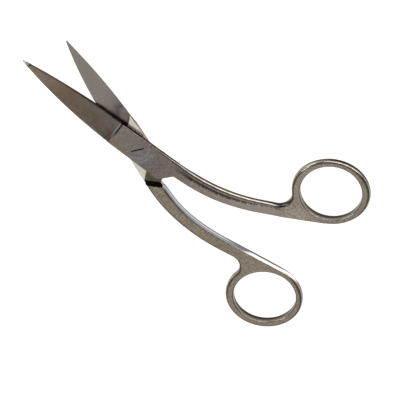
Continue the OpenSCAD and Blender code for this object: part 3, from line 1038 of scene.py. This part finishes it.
def side_steel(name):
    n = Nodes(name + "_side_steel")
    s, off = n.along()
    fine = n.noise(n.scaled(n.place, (300.0, 300.0, 5200.0)), 1.0, 3, 0.6)
    grain = n.noise(n.place, 900.0, 4, 0.65)
    z = n.split(n.place)[2]
    height = n.range(z, 0.0, THICK * MM)
    outer = n.ease(off, 1.5, 3.5)
    # inner flank of the shank: painted reflections in lighter and darker stripes up its height
    shank = n.ramp(height, [
        (0.12, (0.17, 0.185, 0.205)), (0.3, (0.2, 0.215, 0.235)), (0.36, (0.5, 0.54, 0.6)),
        (0.52, (0.56, 0.6, 0.65)), (0.57, (0.08, 0.08, 0.09)), (0.63, (0.09, 0.09, 0.1)),
        (0.68, (0.33, 0.34, 0.35)), (0.8, (0.3, 0.3, 0.3)), (0.88, (0.04, 0.04, 0.042))])
    # painted reflection of the pale floor: near white higher up the flank, towards and round the ring
    white = n.ramp(height, [
        (0.05, (0.05, 0.06, 0.085)), (0.36, (0.07, 0.08, 0.11)), (0.45, (0.97, 0.97, 0.96)),
        (0.9, (1.0, 1.0, 0.98))])
    pale = n.ramp(height, [
        (0.05, (0.13, 0.135, 0.15)), (0.24, (0.2, 0.21, 0.22)), (0.33, (0.97, 0.97, 0.96)),
        (0.9, (1.0, 1.0, 0.98))])
    climb = n.plus(s, n.times(height, 6.0))
    # painted shade over the upper flank before the ring
    dusk = n.times(n.ease(s, 50.0, 60.0, 0.0, 0.8), n.range(height, 0.75, 0.65))
    shank = n.mix(dusk, shank, (0.06, 0.07, 0.095))
    flank = n.mix(n.ease(climb, 65.0, 69.0), shank, white)
    flank = n.mix(n.ease(s, 76.0, 84.0), flank, pale)
    lap = n.ramp(grain, [(0.3, (0.14, 0.11, 0.08)), (0.7, (0.3, 0.25, 0.18))])
    flank = n.mix(n.range(s, 16.5, 18.5, 1.0, 0.0), flank, lap)
    # painted shade on the blade's walls
    flank = n.mix(n.range(s, -9.0, -11.5, 0.0, 0.85), flank, (0.05, 0.045, 0.04))
    # painted dark reflection on the outer walls; painted shade on the hole's wall, darkest low down
    outer_col = n.ramp(grain, [(0.3, PAINTED_DARK), (0.7, (0.035, 0.026, 0.024))])
    ring_col = n.mix(n.range(height, 0.5, 0.62), (0.03, 0.025, 0.02),
                     n.ramp(grain, [(0.3, (0.12, 0.1, 0.075)), (0.7, (0.2, 0.17, 0.135))]))
    hole = n.range(ring_radius(n), 12.9, 13.3, 1.0, 0.0)
    flank = n.mix(n.range(fine, 0.4, 0.7, 0.0, 0.12), flank, (0.45, 0.43, 0.4))
    colour = n.mix(outer, flank, n.mix(hole, outer_col, ring_col))
    rough = n.range(grain, 0.3, 0.7, 0.25, 0.4)
    return n.finish(colour, rough, n.bump(fine, 0.1), tone=1.0)


def screw_steel():
    n = Nodes("screw_steel")
    fine = n.streaks(7.0, 0.6, 4, 0.65, 0.4)
    cloud = n.noise(n.place, 420.0, 3, 0.5)
    colour = n.ramp(cloud, [(0.35, (0.36, 0.33, 0.32)), (0.6, (0.43, 0.4, 0.39)),
                            (0.8, (0.47, 0.43, 0.39))])
    colour = n.stain(colour, fine, 0.4, 0.7, 0.3, (0.58, 0.55, 0.52))
    z = n.split(n.place)[2]
    deep = n.range(z, 0.00255, 0.0031, 1.0, 0.0)
    low = n.range(z, 0.0010, 0.0012)
    # painted shade low in the slot and under the head
    colour = n.mix(n.times(deep, low), colour, (0.01, 0.008, 0.008))
    rough = n.range(cloud, 0.3, 0.7, 0.22, 0.32)
    return n.finish(colour, rough, n.bump(fine, 0.3))


# ---------------- put it together
# in the order of the zones
FINISHES = [shank_steel, blade_outer_steel, lap_outer_steel, blade_inner_steel,
            lap_inner_steel, recess_steel, shoulder_steel, side_steel]

for name in ("lower", "upper"):
    piece = build_half(name)
    for make in FINISHES:
        piece.data.materials.append(make(name))
    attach(piece, name + "_body")
    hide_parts(name + "_half")

screw = build_screw()
screw.data.materials.append(screw_steel())
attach(screw, "lower_body")
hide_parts("pivot_screw")


# ---------------- floor and light
def floor():
    mesh = bpy.data.meshes.new("floor")
    count, width, below = 24, 3.2, 0.00002
    line = [(i / count - 0.5) * width for i in range(count + 1)]
    verts = [(x, y, -below) for y in line for x in line]
    row = count + 1
    corners = [j * row + i for j in range(count) for i in range(count)]
    mesh.from_pydata(verts, [], [(k, k + 1, k + row + 1, k + row) for k in corners])
    n = Nodes("pale_paper")
    grain = n.noise(n.place, 900.0, 4, 0.6)
    colour = n.ramp(grain, [(0.3, (0.9, 0.9, 0.9)), (0.7, (0.94, 0.94, 0.94))])
    n.finish(colour, n.range(grain, 0.3, 0.7, 0.85, 0.95), n.bump(grain, 0.05), 0.0, 1.0)
    # some light of its own keeps the paper white under lamps that are set for steel
    n.bsdf.inputs["Emission Color"].default_value = (1.0, 1.0, 1.0, 1.0)
    n.bsdf.inputs["Emission Strength"].default_value = 0.8
    n.bsdf.inputs["Specular IOR Level"].default_value = 0.1
    mesh.materials.append(n.mat)
    obj = add_object("floor", mesh)


def lamp(name, direction, distance, size, power, colour):
    """A soft lamp that faces the middle of the scissors."""
    data = bpy.data.lights.new(name, "AREA")
    data.shape = "RECTANGLE"
    data.size, data.size_y = size
    data.energy = power
    data.color = colour
    obj = add_object(name, data)
    d = Vector(direction).normalized()
    obj.location = Vector((0.02, 0.015, 0.0)) + d * distance
    obj.rotation_euler = d.to_track_quat("Z", "Y").to_euler()


floor()
lamp("soft_side", (-0.55, 0.8, 0.25), 1.3, (2.6, 0.4), 15.0, (1.0, 0.96, 0.9))
lamp("soft_back", (0.49, -0.39, 0.78), 1.6, (1.3, 1.3), 3.2, (1.0, 0.97, 0.93))
lamp("soft_top", (0.05, 0.0, 1.0), 1.5, (1.0, 1.0), 1.7, (1.0, 0.98, 0.95))
lamp("soft_end", (-0.92, -0.39, 0.14), 1.3, (0.6, 0.3), 2.6, (0.97, 0.98, 1.0))
lamp("fill", (-0.55, -0.6, 0.6), 1.6, (0.5, 0.5), 4.0, (0.96, 0.98, 1.0))

world = bpy.data.worlds.new("studio")
bpy.context.scene.world = world
world.use_nodes = True
background = next(n for n in world.node_tree.nodes if n.type == "BACKGROUND")
background.inputs["Color"].default_value = (0.97, 0.98, 1.0, 1.0)
background.inputs["Strength"].default_value = 0.2
bpy.context.scene.view_settings.view_transform = "Standard"
